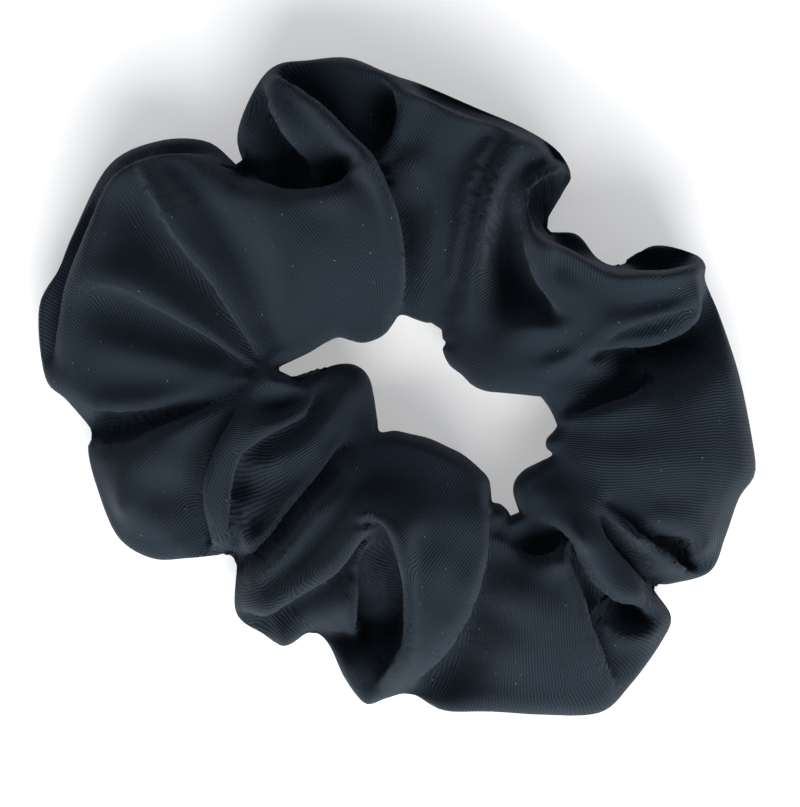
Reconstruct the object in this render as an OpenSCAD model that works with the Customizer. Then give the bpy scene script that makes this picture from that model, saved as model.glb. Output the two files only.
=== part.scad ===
// Scrunchie: a gathered cloth tube on a loop of flat elastic, lying flat.
// +X runs along the hair opening's long axis and +Z points up from the surface it lies on.
// The cover, the elastic and the long seam are each made in two halves, left and right, which
// part in the middle of the loop's straight sides. The closing seam is at the left end.

/* [Elastic] */
// Length of the relaxed elastic loop, measured on the middle of the elastic
loop_len = 54; // [44:1:80]
// Width of the relaxed elastic loop, measured on the middle of the elastic
loop_w = 27; // [22:1:40]
// Width of the braided elastic, which stands on edge
elastic_w = 6; // [3:0.5:8]
// Thickness of the braided elastic
elastic_t = 1; // [0.6:0.1:1.2]
// Length over which the elastic's two ends are lapped and sewn
lap_len = 12; // [8:1:13]

/* [Cover] */
// Height of the tallest fold of the gathered tube
cover_h = 33; // [28:1:42]
// Height of the elastic's middle above the surface
elastic_z = 11; // [9:1:14]
// Thickness of the gathered cloth
cloth_t = 0.8; // [0.5:0.1:1.5]
// Room between the cloth's inner edge and the elastic
elastic_room = 1; // [0.8:0.1:1.5]
// How much lower the shallowest fold is than the tallest
fold_drop = 9; // [4:1:12]
// Size of the folds' reach, as a share of the reaches in FOLDS
fold_scale = 1; // [0.8:0.05:1.2]

/* [Thread] */
// Thickness of the sewing thread
thread_d = 0.3; // [0.2:0.05:0.4]
// Length of one stitch of the long seam, with its gap
stitch_pitch = 2.6; // [2:0.1:4]
// Distance of the long seam from the elastic, on the floor of the tube
seam_reach = 9; // [6:1:11]
// Number of zigzag legs across the elastic's lap
zigzags = 8; // [4:1:12]

/* [Hidden] */

// Colours: near-black navy twill and thread, off-white elastic
CLOTH = "#14181f";
THREAD = "#0d1015";
BRAID = "#d8d5cc";

// Folds of the gathered cloth, in turn from the middle of the right end and counter-clockwise:
// [how far round the loop in percent, how far the fold reaches out from the elastic in mm]
FOLDS = [
    [0, 28], [5, 33], [8, 30], [12, 33], [17, 24], [22, 26], [30, 36], [36, 33], [42, 37],
    [46, 29], [54, 41], [58, 33], [62, 36], [66, 26], [73, 35], [80, 28], [86, 35], [90, 31],
    [94, 35], [100, 28]
];

halves_gap = 0.3;      // between the faces where the left and right halves meet
thread_gap = 0.1;      // between a thread and the cloth or elastic that it lies on
rings = 32;            // sections along one half of the cover
sides = 24;            // corners of one section
belly = 19;            // lower half height of a section before the surface flattens it
cloth_edge = 0.5;      // margin kept between the zigzag's points and the elastic's edges

end_r = loop_w / 2;                            // radius of the loop's round ends
run = loop_len / 2 - end_r;                    // half length of its straight sides
loop_girth = 2 * PI * end_r + 4 * run;
inner_reach = cloth_t + elastic_room + elastic_t / 2;
lap_start = -halves_gap - lap_len;
least_reach = min([for (f = FOLDS) f[1]]);
most_reach = max([for (f = FOLDS) f[1]]);

// [x, y, direction of the outward normal] at a share s of the way round the elastic's middle
function loop_at(s) =
    let (
        d = s * loop_girth,
        quarter = PI * end_r / 2,
        top_end = quarter + 2 * run,
        left_end = top_end + 2 * quarter,
        low_end = left_end + 2 * run
    )
    d < quarter ? turn_at(run, 90 * d / quarter)
    : d < top_end ? [run - (d - quarter), end_r, 90]
    : d < left_end ? turn_at(-run, 90 + 90 * (d - top_end) / quarter)
    : d < low_end ? [-run + (d - left_end), -end_r, 270]
    : turn_at(run, 270 + 90 * (d - low_end) / quarter);
function turn_at(x, a) = [x + end_r * cos(a), end_r * sin(a), a];

// A share of the loop, brought back between 0 and 1
function wrap(s) = s - floor(s);

// Reach of the folds at a share s of the loop, with a smooth rise and fall between the listed ones
function reach_at(s) = fold_scale * fold_between(100 * wrap(s), 0);
function fold_between(p, i) =
    p <= FOLDS[i + 1][0]
    ? let (t = (p - FOLDS[i][0]) / (FOLDS[i + 1][0] - FOLDS[i][0]))
        FOLDS[i][1] + (FOLDS[i + 1][1] - FOLDS[i][1]) * (1 - cos(180 * t)) / 2
    : fold_between(p, i + 1);

// Height of the cover there: a fold that reaches further out also stands higher
function height_at(s) =
    cover_h - fold_drop * (most_reach - reach_at(s) / fold_scale) / (most_reach - least_reach);

// The point that lies out from the elastic's middle at s, at height z
function out_at(s, out, z) =
    let (p = loop_at(wrap(s)))
    [p[0] + out * cos(p[2]) - middle[0], p[1] + out * sin(p[2]) - middle[1], z];

// [reach, height] of one corner of the tube's section at s: a round crown over a belly that the
// surface below flattens. inset takes it to the inside of the cloth.
function corner(s, a, inset) =
    let (
        half = (reach_at(s) + inner_reach) / 2,
        crown = height_at(s) - elastic_z,
        rise = (sin(a) > 0 ? crown : belly) - inset
    )
    [half - inner_reach + (half - inset) * cos(a), max(inset, elastic_z + rise * sin(a))];
function corner_point(s, a, inset) =
    let (c = corner(s, a, inset))
    out_at(s, c[0], c[1]);

// Shares of the loop between which each half runs
half_gap = halves_gap / 2 / loop_girth;
LEFT = [0.25 + half_gap, 0.75 - half_gap];
RIGHT = [-0.25 + half_gap, 0.25 - half_gap];
function section_at(span, i) = span[0] + (span[1] - span[0]) * i / rings;

// Middle of the sections' outline, which becomes the origin
outline = [for (span = [LEFT, RIGHT], i = [0:rings])
    let (s = section_at(span, i), p = loop_at(wrap(s)))
    [p[0] + reach_at(s) * cos(p[2]), p[1] + reach_at(s) * sin(p[2])]];
xs = [for (p = outline) p[0]];
ys = [for (p = outline) p[1]];
middle = [(min(xs) + max(xs)) / 2, (min(ys) + max(ys)) / 2];

// Half of the cloth tube, hollow and open where the halves meet
module cover_half(span) {
    points = [
        for (i = [0:rings]) each [
            for (inset = [0, cloth_t], j = [0:sides - 1])
                corner_point(section_at(span, i), 360 * j / sides, inset)
        ]
    ];
    function at(i, j, inner) = 2 * sides * i + (inner ? sides : 0) + j % sides;
    outer_wall = [for (i = [0:rings - 1], j = [0:sides - 1])
        [at(i, j, false), at(i, j + 1, false), at(i + 1, j + 1, false), at(i + 1, j, false)]];
    inner_wall = [for (i = [0:rings - 1], j = [0:sides - 1])
        [at(i, j, true), at(i + 1, j, true), at(i + 1, j + 1, true), at(i, j + 1, true)]];
    first_rim = [for (j = [0:sides - 1])
        [at(0, j, false), at(0, j, true), at(0, j + 1, true), at(0, j + 1, false)]];
    last_rim = [for (j = [0:sides - 1])
        [at(rings, j, false), at(rings, j + 1, false), at(rings, j + 1, true), at(rings, j, true)]];
    polyhedron(points, concat(outer_wall, inner_wall, first_rim, last_rim), convexity = 8);
}

// Half of the elastic loop: a round end and two straight runs, which stop short of the middle
module elastic_half() {
    low = elastic_z - elastic_w / 2;
    translate([-middle[0], -middle[1], low]) {
        translate([-run, 0, 0])
            rotate([0, 0, 90])
                rotate_extrude(angle = 180, $fn = 90)
                    translate([end_r - elastic_t / 2, 0])
                        square([elastic_t, elastic_w]);
        for (side = [-1, 1])
            translate([-run, side * end_r - elastic_t / 2, 0])
                cube([run - halves_gap / 2, elastic_t, elastic_w]);
    }
}

module cover_left() {
    color(CLOTH) cover_half(LEFT);
}

module cover_right() {
    color(CLOTH) cover_half(RIGHT);
}

// The lap of the elastic's two ends thickens the loop's left rear run on its outer side
module elastic_left() {
    color(BRAID)
        union() {
            elastic_half();
            translate([lap_start - middle[0], end_r - elastic_t / 2 - middle[1], elastic_z - elastic_w / 2])
                cube([lap_len, 2 * elastic_t, elastic_w]);
        }
}

module elastic_right() {
    color(BRAID)
        translate([-2 * middle[0], 0, 0])
            mirror([1, 0, 0])
                elastic_half();
}

// A zigzag of thread as it lies on one face of the lap, seen square on
module zigzag() {
    leg = (lap_len - 2 * cloth_edge) / zigzags;
    swing = elastic_w / 2 - cloth_edge - thread_d / 2;
    upper = [for (i = [0:zigzags]) [i * leg, (i % 2 == 0 ? -1 : 1) * swing + thread_d / 2]];
    lower = [for (i = [zigzags:-1:0]) [i * leg, (i % 2 == 0 ? -1 : 1) * swing - thread_d / 2]];
    linear_extrude(thread_d)
        polygon(concat(upper, lower));
}

// One zigzag shows on the outer face of the lap and one on its inner face
module elastic_join_stitching() {
    outer_face = end_r + elastic_t * 3 / 2 + thread_gap + thread_d;
    inner_face = end_r - elastic_t / 2 - thread_gap;
    color(THREAD)
        for (face = [outer_face, inner_face])
            translate([lap_start + cloth_edge - middle[0], face - middle[1], elastic_z])
                rotate([90, 0, 0])
                    zigzag();
}

// A row of single stitches on the floor of the tube, where its long seam lies
module long_seam(span) {
    length = (span[1] - span[0]) * (loop_girth + 2 * PI * seam_reach);
    count = floor(length / stitch_pitch);
    for (i = [0:count - 1]) {
        s = span[0] + (span[1] - span[0]) * (i + 0.5) / count;
        p = out_at(seam_share(s), seam_reach, cloth_t + thread_gap + thread_d / 2);
        heading = loop_at(wrap(seam_share(s)))[2] + 90;
        translate(p)
            rotate([0, 0, heading])
                rotate([0, 90, 0])
                    cylinder(d = thread_d, h = stitch_pitch * 0.8, center = true, $fn = 24);
    }
}
// Share of the elastic's loop that is level with a share of the longer seam line
function seam_share(s) =
    let (
        seam_girth = loop_girth + 2 * PI * seam_reach,
        turns = floor(s * 4) / 4,
        part = (s - turns) * seam_girth,
        seam_quarter = PI * (end_r + seam_reach) / 2,
        quarter = PI * end_r / 2,
        rising = (turns * 4) % 2 == 0,
        first = rising ? seam_quarter : run,
        along = part < first
            ? part * (rising ? quarter / seam_quarter : 1)
            : (rising ? quarter : run) + (part - first) * (rising ? 1 : quarter / seam_quarter)
    )
    turns + along / loop_girth;

module long_seam_left() {
    color(THREAD) long_seam(LEFT);
}

module long_seam_right() {
    color(THREAD) long_seam(RIGHT);
}

// Stitches round the inner edge of the tube at the left end, where its tucked ends are closed
module closing_seam() {
    s = 0.5;
    first = sides * 3 / 8;
    last = sides * 5 / 8 - 1;
    color(THREAD)
        for (j = [first:last]) {
            a = corner(s, 360 * j / sides, 0);
            b = corner(s, 360 * (j + 1) / sides, 0);
            edge = b - a;
            lean = atan2(edge[1], edge[0]);
            off = thread_gap + thread_d / 2;
            m = (a + b) / 2 + off * [sin(lean), -cos(lean)];
            translate(out_at(s, m[0], m[1]))
                rotate([0, lean, 0])
                    rotate([0, 90, 0])
                        cylinder(d = thread_d, h = norm(edge) * 0.8, center = true, $fn = 24);
        }
}

cover_left();
cover_right();
elastic_left();
elastic_right();
elastic_join_stitching();
long_seam_left();
long_seam_right();
closing_seam();
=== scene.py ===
import math

import bmesh
import bpy
import numpy as np
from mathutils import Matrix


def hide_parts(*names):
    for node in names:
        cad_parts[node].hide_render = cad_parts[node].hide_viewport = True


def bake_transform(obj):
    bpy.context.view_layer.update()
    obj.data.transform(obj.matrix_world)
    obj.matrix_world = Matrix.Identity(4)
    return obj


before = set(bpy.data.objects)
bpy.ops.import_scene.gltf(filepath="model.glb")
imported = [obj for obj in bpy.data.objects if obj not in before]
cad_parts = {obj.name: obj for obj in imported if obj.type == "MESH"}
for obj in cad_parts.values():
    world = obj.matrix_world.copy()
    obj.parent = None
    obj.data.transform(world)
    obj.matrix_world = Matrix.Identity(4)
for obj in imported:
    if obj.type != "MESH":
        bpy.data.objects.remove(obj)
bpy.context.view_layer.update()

scene = bpy.context.scene
scene.view_settings.view_transform = "Standard"
bpy.ops.object.select_all(action="DESELECT")

# ---------------------------------------------------------------------------------------------
# Plan and camera. The scrunchie lies flat and is looked at from straight above. Its folds are
# laid out on a plan in mm, X to the right and Y up as the camera sees them; the hair opening's
# long axis, the frame's +X, slants down to the right on it.
PLAN_TURN = math.radians(33)
PLAN_SHIFT = np.array([-0.3, -0.4])


def to_frame(plan):
    """Turn plan points, an array of X, Y in mm, into frame x, y in mm."""
    c, s = math.cos(PLAN_TURN), math.sin(PLAN_TURN)
    plan = np.asarray(plan, float)
    return plan @ np.array([[c, s], [-s, c]]) + PLAN_SHIFT


def to_plan(place):
    """The opposite of to_frame."""
    c, s = math.cos(PLAN_TURN), math.sin(PLAN_TURN)
    place = np.asarray(place, float)
    return (place - PLAN_SHIFT) @ np.array([[c, -s], [s, c]])


CAMERA_HEIGHT = 620.0
CAMERA_SPAN = 133.3    # mm of plan across the view, at the height of the folds
FOLD_LEVEL = 15.0
VIEW_CENTRE = to_frame([0.5, -2.75])

camera = bpy.data.objects.new("camera", bpy.data.cameras.new("camera"))
scene.collection.objects.link(camera)
camera.data.sensor_fit = "HORIZONTAL"
camera.data.lens = camera.data.sensor_width * (CAMERA_HEIGHT - FOLD_LEVEL) / CAMERA_SPAN
camera.data.clip_start = 0.05
camera.data.clip_end = 10
camera.location = (VIEW_CENTRE[0] / 1000, VIEW_CENTRE[1] / 1000, CAMERA_HEIGHT / 1000)
camera.rotation_euler = (0, 0, PLAN_TURN)
scene.camera = camera

# ---------------------------------------------------------------------------------------------
# Cover: one strip of near-black gabardine, sewn into a tube 50 mm wide and gathered on the
# elastic. Its gathers open into broad lobes at the rim and are pinched together at the opening.
CLOTH_T = 0.4
COLUMNS = 430          # mesh columns round the loop, closer together where folds are many
TOP_ROWS = 92          # rows from the opening's edge over the top to the rim
LOW_ROWS = 20          # rows from the rim back under to the opening's edge
EDGE_Z = 10.5          # height of the opening's edge, level with the elastic

# Stations round the tube, clockwise on the plan from the left:
# (rim X, rim Y, rim height, opening edge X, opening edge Y)
STATIONS = [
    (-51.3, -7.6, 7, -15.8, 2), (-55.8, -2.2, 8, -17.6, 2.4), (-59.5, 1.7, 8, -19, 2.8),
    (-60.5, 13.5, 8, -19.6, 3.1), (-57, 20, 9, -19.5, 3.2), (-54.5, 26, 10, -19.3, 3.3),
    (-48.5, 37.5, 10, -19, 3.5), (-40, 41.5, 11, -18.5, 3.8), (-32, 41.5, 10, -17.8, 4.2),
    (-27.5, 38, 9, -17, 4.6), (-25, 35.5, 8, -16, 5.1), (-27, 42, 9, -14.5, 5.8),
    (-24.3, 49.5, 11, -13, 6.4), (-20.5, 53.8, 14, -11, 7), (-15, 55, 11, -8.5, 7.4),
    (-8, 55.3, 12, -6, 8), (-1.2, 52.5, 13, -3.7, 8.7), (4.3, 50.8, 12, -1, 10.5),
    (13.3, 47, 11, 1.8, 11.5), (21, 43.7, 11, 4.5, 11), (26.8, 40, 11, 6.5, 10),
    (29.3, 35.7, 11, 7.6, 8.4), (28, 32.8, 9, 8, 6.8), (25, 26.7, 9, 8.8, 5),
    (30.3, 25.8, 10, 10, 2.8), (33.8, 21.7, 10, 12.2, 0.5), (37.5, 20.5, 12, 15, -0.8),
    (43, 23.8, 12, 18.5, -1.2), (49.5, 22.5, 13, 21.5, -1.4), (51.7, 20.5, 13, 23.5, -1.6),
    (51.8, 18, 11, 25, -2), (54.5, 11.8, 9, 26, -3.7), (57.5, 2, 11, 26.6, -6),
    (59.8, -9.2, 11, 25.6, -7.8), (60.3, -14.7, 10, 25, -9), (57.7, -18.7, 9, 25.2, -10.6),
    (55.5, -25.2, 8, 24.3, -12.4), (53, -31.2, 7, 22.6, -13.7), (46.5, -33.3, 6, 21, -14.8),
    (43.2, -33.7, 7, 20.2, -16.3), (46.2, -38.5, 9, 20.3, -18.5), (44.7, -42.8, 9, 20.7, -20.8),
    (39.5, -50.2, 8, 20.6, -22), (34.2, -55, 8, 19.4, -21.6), (24.3, -55.3, 7, 18, -20),
    (15.7, -54.8, 7, 16.6, -18.8), (7.8, -54.8, 6, 15.4, -16), (2.2, -51.8, 6, 14.2, -13.5),
    (-1.7, -52.5, 6, 12.8, -12), (-5.3, -53.5, 6, 11, -10.8), (-9, -48.8, 7, 9, -9.6),
    (-11.5, -43.3, 7, 7, -8.7), (-14.5, -41.2, 8, 5.2, -8), (-18.8, -43.8, 6, 3.4, -7.4),
    (-22.8, -41.7, 7, 1.6, -7.1), (-27.3, -38, 8, -0.4, -7.1), (-27.2, -28.5, 8, -2.6, -6.6),
    (-30.7, -28.5, 7, -3.3, -4.6), (-35.5, -29, 6, -4, -2), (-41.5, -29, 7, -4.8, 0.6),
    (-47.2, -25.2, 9, -6, 2.9), (-50.7, -16.5, 10, -9, 3.6), (-52.3, -10, 8, -12.8, 3.1),
]

# The opening's edge in full, clockwise on the plan from its left tip: (X, Y)
OPENING = [
    (-19.8, 3.1), (-17.8, 4.2), (-14.5, 5.8), (-12, 7.3), (-9.8, 8.2), (-7.8, 7.7), (-5.8, 7.3),
    (-3.7, 7.8), (-2, 8.8), (-0.8, 10.3), (0.2, 11.8), (1.2, 12), (3, 11.3), (5, 10.7), (6.6, 10.8),
    (7.4, 9.6), (7.6, 8), (8.2, 7.4), (7.6, 6.2), (8.7, 3.7), (10.8, 2), (12.5, 0.3), (14.7, -0.7),
    (17.2, -1), (20.5, -1.3), (23.5, -1.6), (25.2, -1.6), (26.5, -1.9), (26.8, -3.5),
    (27.5, -4.9), (26.5, -7), (25, -8.7), (25, -10.2), (26, -11.3), (23.8, -12.5), (21.3, -13.8),
    (19.8, -15.5), (19.4, -17.2), (19.7, -18.8), (20.4, -20.8), (20.6, -22.2), (19.4, -22),
    (18.5, -20.5), (17.2, -19.4), (16, -19.2), (15.8, -17.2), (15.4, -15.2), (13.8, -13.4),
    (11.3, -11.3), (8.8, -10), (5.5, -8.5), (2.2, -7.7), (-0.3, -7.2), (-2.8, -7.4), (-3.2, -5.5),
    (-3.8, -1.3), (-4.5, 1.5), (-5.8, 3.2), (-7.8, 4), (-10.3, 3.8), (-12.8, 2.8), (-14.6, 1.9),
    (-16.1, 1.4), (-17.5, 1.8), (-18.8, 2.4),
]

# Crests, valleys and flats of the top of the cloth: lines of (X, Y, height)
LINES = [
    # upper left fan: rim band, panels between the ridges
    [(-35, 40.7, 13.5), (-41, 40.3, 14), (-46.5, 38, 14), (-50, 34.5, 14), (-52.2, 29.5, 13.5),
     (-55, 24, 13), (-57, 19.5, 12.5), (-59, 14, 12), (-59.3, 9, 11.5), (-59, 4.5, 10.5)],
    [(-41, 36.5, 22.5), (-37, 30.5, 25.5), (-34.5, 25.5, 26), (-31, 20.5, 25), (-27.5, 15, 22.5),
     (-25, 10.5, 19.5), (-22.5, 6, 17)],
    [(-38, 37, 18.5), (-33, 31, 18.5), (-28.5, 23.5, 18), (-24.5, 16, 17.5), (-22, 10.5, 16.5)],
    [(-48, 31, 19), (-48, 23, 19.5)], [(-42, 21, 19.5)],
    [(-16.5, 7, 18.3), (-14.5, 8.2, 18.8), (-12.5, 9.4, 19.5)],
    [(-24.5, 31, 25), (-19.5, 23, 26.5), (-18, 14.5, 23.5), (-18, 8, 19)],
    [(-53, 8, 16), (-46, 6, 18), (-38, 4.5, 18.5), (-29.5, 3.5, 17.5)],
    [(-54.5, 0.5, 14.5), (-46, -1.5, 17.5), (-36, -0.3, 18)], [(-33, 38, 18), (-29, 34, 22)],
    # lower left lobe
    [(-28, -3, 18.5), (-34.5, -7, 19.5), (-41, -11.5, 20), (-46, -15.5, 19.5),
     (-46.5, -20.5, 17.5)],
    [(-49.8, -11.5, 15), (-48, -18, 15), (-44.5, -24, 14.5), (-39.5, -26.5, 13)],
    [(-41, -16.5, 17), (-37.5, -18, 12.5), (-35, -20, 9.5)], [(-41, -23.5, 16.5)],
    [(-34.8, -26.5, 9.5)], [(-36.5, -13.5, 17)],
    # twisted strip, knob and the folds beside them
    [(-22.5, -5.5, 21.5), (-26, -7.5, 23), (-28.7, -12, 23.5), (-30, -17, 22.5),
     (-30, -21.5, 20.5), (-29.5, -25, 16)],
    [(-23.5, 0.7, 19), (-20.5, 1, 21), (-17.5, 0.3, 20)],
    [(-23, -2.5, 18), (-21, -3.3, 16), (-18.5, -3.2, 16), (-16.7, -1.8, 16.5)],
    [(-15.2, -1, 18.5), (-15.7, -3.7, 20), (-18.5, -5.3, 21)],
    [(-12.5, 1.5, 15.8), (-13, -0.5, 15.5), (-12, -3, 16.5)],
    [(-25.8, -18.5, 15), (-25.9, -22.5, 16.5), (-25.5, -25.2, 17), (-24.5, -26.4, 17.5),
     (-22.8, -25.6, 18.5), (-20.3, -22.5, 19.5), (-17.8, -19, 20.5), (-14.8, -15.5, 21),
     (-12, -11.8, 21),
     (-10, -8.5, 19.5)],
    [(-24.5, -24, 13.5), (-21.5, -19.5, 15.5), (-18.5, -15, 18)],
    [(-22.5, -13, 18.5), (-16, -9, 20), (-11, -4.5, 20.5), (-8, -1, 19.5), (-5.8, 1, 17.5)],
    [(-6.5, -4.5, 17)],
    # big lobe and the beak in it
    [(0.5, -11, 19), (7.2, -13, 22), (12, -16.5, 23)], [(-4, -10.5, 18.5), (-9, -11, 18)],
    [(-7.8, -15.5, 23), (-12.8, -18.8, 22.5), (-17.8, -25.5, 22), (-22.8, -30.5, 18.5),
     (-26, -33.8, 13.5)],
    [(-2.8, -19.5, 25), (2.2, -17.5, 24), (7.2, -15.5, 23)],
    [(8.8, -22.2, 27), (12.2, -28.8, 26.5)], [(7.2, -28.8, 29), (9.5, -36.5, 26)],
    [(3.5, -24.5, 29.5), (3.5, -32, 30), (3.5, -38.8, 28), (4, -45, 22), (1.5, -48.8, 16)],
    [(-5.3, -21.5, 31.5), (-7.8, -23.5, 30), (-10.7, -26.8, 28), (-13.5, -29.8, 26.5),
     (-16.5, -32.2, 24.5), (-20.3, -34.7, 21.5), (-23.7, -36, 17.5), (-26, -36.6, 13)],
    [(-7.5, -20.5, 26.5), (-11.5, -24, 24), (-14.8, -27.5, 22), (-18, -30.3, 20.5),
     (-21.5, -33, 18.5)],
    [(-9.5, -35, 19.5), (-12.8, -38, 16.5)], [(-16.2, -38, 15), (-20, -40.5, 12)],
    [(-8.5, -39.5, 15)],
    [(-2, -28.8, 17.5), (-2, -33.5, 14), (-0.9, -36.8, 10)],
    [(-3.8, -35.5, 7), (-4.3, -38.8, 4.5), (-2, -39.7, 5.5), (-3.5, -42.6, 9.5)],
    [(-8.3, -43.5, 12), (-7, -46.5, 15), (-5, -50, 15)], [(-3.4, -45.5, 12.5)],
    # bottom panel
    [(27.5, -31, 23.5), (30, -38, 23), (32, -44, 21), (33.8, -49, 17)],
    [(24.7, -30.5, 22), (20.5, -31.5, 20.5), (17.5, -33, 16.5)],
    [(16.8, -21.5, 17.5), (18.8, -22.3, 17), (21, -22.3, 17), (23, -20.8, 17)],
    [(23.8, -38.8, 22.5), (18, -42.2, 18)], [(27.2, -48.8, 18.5), (17.2, -50.5, 14)],
    [(9.7, -52, 9.5)], [(39, -48, 13), (41, -43.5, 14.5)],
    # two fingers and the narrow ridge beside them
    [(22.2, -16.9, 17), (26.3, -18, 19.5), (30.5, -20.2, 21.5), (33.3, -23.8, 22.5),
     (36, -27.8, 22.5), (38.8, -31.2, 22), (41.8, -34.8, 20.5), (44, -37.2, 16.5)],
    [(33.5, -20, 22), (35.8, -20.9, 23), (39.4, -23.3, 23.5), (42.7, -26, 22.5),
     (45.8, -28.8, 20.5), (48.8, -31, 15)],
    [(34.2, -21.5, 17.5), (36, -23.8, 14), (38.5, -26.5, 12.5), (41.2, -29.3, 12),
     (43.2, -31.8, 10)],
    [(37.5, -37.5, 7.5), (40.2, -38.3, 7.5), (38.5, -39.5, 9)],
    [(28.6, -26.3, 18), (29.9, -30.2, 17.5), (31.6, -33.8, 17), (33.6, -37.2, 16.5),
     (35.8, -39.8, 16.5), (38.5, -41.3, 16.5), (41.3, -40.8, 16.5), (43.2, -39.2, 15.5)],
    # right panel
    [(41.3, 1.6, 15), (43.8, 0.6, 17), (48.8, 1.8, 17), (52.5, 5, 15)],
    [(50.5, -2, 21), (56, -5.5, 19)], [(40.5, -5.5, 22), (34, -7, 20.5), (29.7, -8.5, 18)],
    [(56.5, -14, 19), (49, -12, 24), (40.5, -12, 24), (34, -12, 22), (29.5, -12.5, 18.5)],
    [(50.5, -19, 22), (43.8, -19, 22.5), (37.5, -16, 22.5), (32, -14.5, 20.5)],
    [(54.5, -23, 14)], [(26.5, -8.3, 17), (27.7, -12.5, 15.8)], [(29, -6.5, 15.8)],
    [(45.5, 4.8, 5), (42, 4.2, 6), (48.5, 6, 5)], [(51.5, 10.5, 9)],
    # cuff and the roll under it
    [(27, 20.5, 27.5), (34, 17.5, 28.5), (40.5, 16.5, 29), (47, 17.5, 28.5), (50, 18.5, 26)],
    [(34, 13, 26.5), (40.5, 12.3, 26.5), (47, 13.2, 27)],
    [(38.5, 7.1, 22.5), (43, 8.2, 22.3), (48, 10.2, 22.3)],
    [(9.5, 8.5, 17), (13, 5.3, 19), (17, 3.3, 20), (22, 2.8, 20), (27, 3.8, 20.5), (31, 6, 22)],
    [(17, 9.5, 18.5), (22, 10.5, 21.5), (27, 9.5, 23), (32, 9.5, 24.5)],
    [(29.7, 2.3, 18.3), (32.5, 3.5, 19.5), (35, 4.7, 18.5)],
    [(29, 3.4, 16), (32, 4.6, 16.3), (34, 5.2, 15.5)],
    [(30.5, 1.1, 14.5), (34, 2.3, 13.5), (36.5, 3.6, 11)], [(27, -1, 16.5), (32, -1, 14)],
    [(42, 21.9, 9), (45, 22.2, 9.5)], [(29.5, 24.7, 12)],
    # shoulder and its deep valley
    [(24.5, 39.5, 20.5), (22, 41, 22), (19.8, 39.5, 24), (17.7, 35.5, 24.5), (15.7, 29.5, 24),
     (13.8, 23, 23), (12.3, 16, 20.5), (10.3, 10.5, 17)],
    [(19.5, 36, 21.5), (18.7, 33, 16.5), (17.3, 28.5, 9.5), (16.6, 24.5, 7), (17, 20.5, 7),
     (18.3, 16, 10.5), (20.5, 13, 15)],
    [(24.7, 36.2, 20), (26.7, 37.3, 18)],
    [(27.2, 31.8, 13), (25.4, 29.2, 13)],
    # pleated panel
    [(0.7, 50.5, 23), (1.2, 46, 24), (0.7, 42, 23), (0.2, 38, 19.5), (1.2, 33.5, 16.5)],
    [(5.5, 46, 23), (6.5, 38, 21), (6.3, 29.5, 20), (5.5, 21, 18.5), (4.2, 14.5, 16.5)],
    [(17.3, 42.7, 20.5), (13.7, 39.5, 21), (11.3, 33, 20.5), (9.9, 26, 19.5), (8.4, 18, 16.5)],
    [(17.6, 42, 22.3), (14.8, 38.6, 23), (12.4, 32.8, 22.7), (10.9, 26, 21.7), (9.2, 18, 18.2)],
    [(18.2, 41.5, 20.3), (15.8, 38.3, 20.6), (13.4, 33, 20), (11.8, 26, 19), (9.9, 17.5, 16.5),
     (8.6, 13, 15.3)],
    [(18.8, 41, 22.5), (16.7, 37.8, 23), (14.4, 33, 22.7), (12.7, 26, 21.7), (10.8, 17.5, 18.7)],
    # top roll: strip, groove, hollow and rim
    [(-23.5, 50.5, 16.5), (-24.6, 46, 18), (-23.5, 41.5, 18), (-21, 38, 16), (-18.5, 36, 12.5)],
    [(-18.5, 50.3, 25), (-16.3, 47, 27), (-13.3, 43, 28), (-9.8, 40, 29), (-7, 37.8, 30)],
    [(-10.5, 35.3, 12.5)],
    [(-18, 53.3, 16.5), (-13, 53.7, 17.5), (-8, 53.3, 19), (-3.5, 52, 21), (-1, 50.7, 22.5)],
    [(-11, 51, 14.5), (-8, 48.8, 12.5), (-4.7, 45.3, 11), (-2.6, 41.8, 11)],
    # front panel
    [(-8, 35, 28.5), (-3.5, 31, 31), (-2.5, 25, 29.5), (-2.5, 18, 25.5), (-3.5, 12, 19)],
    [(-16, 29, 29), (-9.5, 27, 30.5), (-8.5, 18, 27), (-10, 10.5, 20)],
]

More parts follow.
